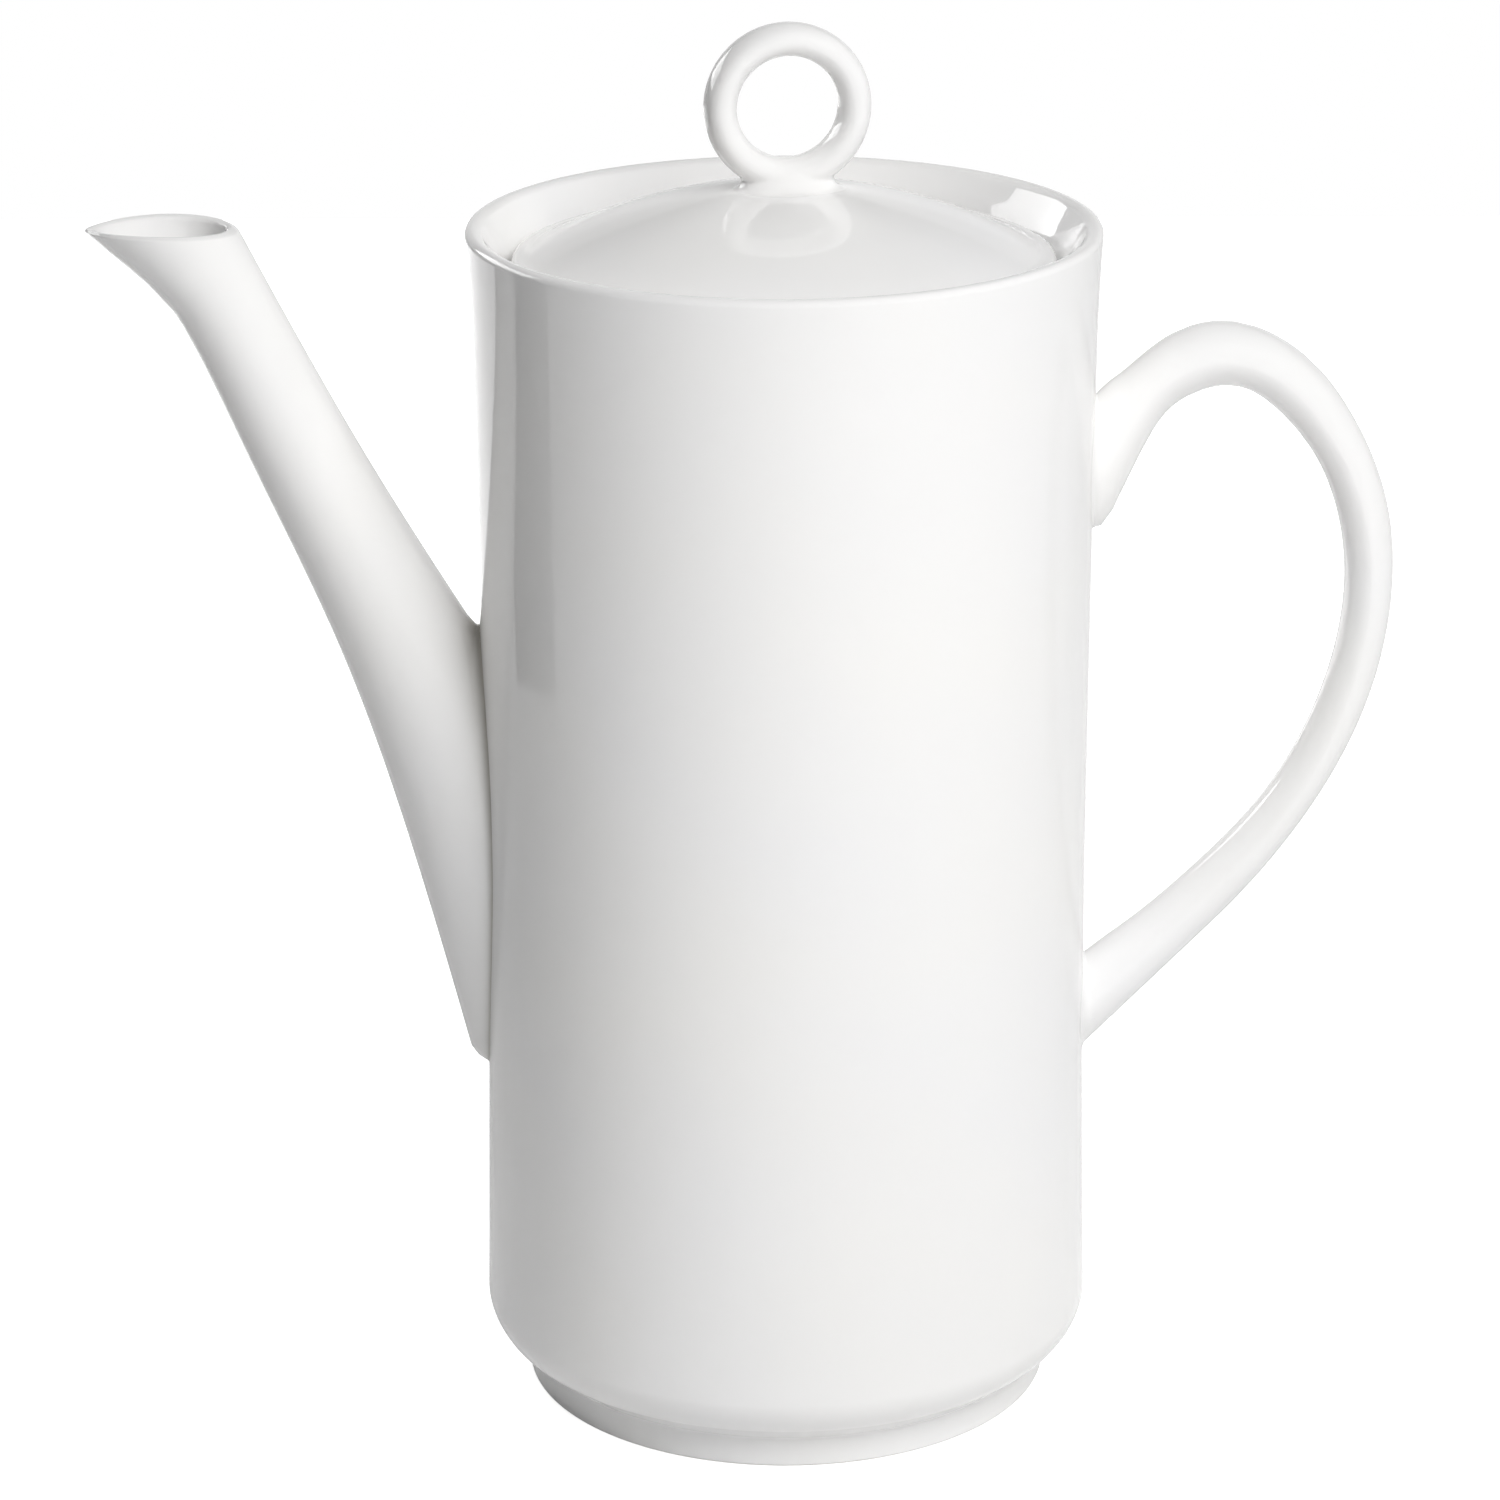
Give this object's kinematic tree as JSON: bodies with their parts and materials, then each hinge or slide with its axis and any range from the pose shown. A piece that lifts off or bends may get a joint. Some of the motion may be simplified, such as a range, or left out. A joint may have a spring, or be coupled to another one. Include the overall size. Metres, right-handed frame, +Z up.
{
  "type": "coffee pot",
  "caption": "White porcelain coffee pot: tall round body with a long spout, an ear handle and a loose lid with a ring knob, for brewing, keeping and pouring coffee.",
  "frame": {"origin": "on the body's axis, in the plane that the foot ring stands on", "axes": "+Z up along the body's axis, +X towards the handle, -X towards the spout, +Y to the left of someone who looks from the handle to the spout's far side"},
  "size_m": [0.2231, 0.1078, 0.244],
  "materials": {
    "white_glaze": "clear gloss glaze over white porcelain"
  },
  "bodies": {
    "pot": {"pot_body": "white_glaze", "spout": "white_glaze", "handle": "white_glaze"},
    "lid": {"lid": "white_glaze", "lid_knob": "white_glaze"}
  },
  "joints": [
    {"name": "lid_lift", "type": "slide", "parent": "pot", "child": "lid", "axis": [0, 0, 1], "range_m": [0, 0.07]}
  ]
}
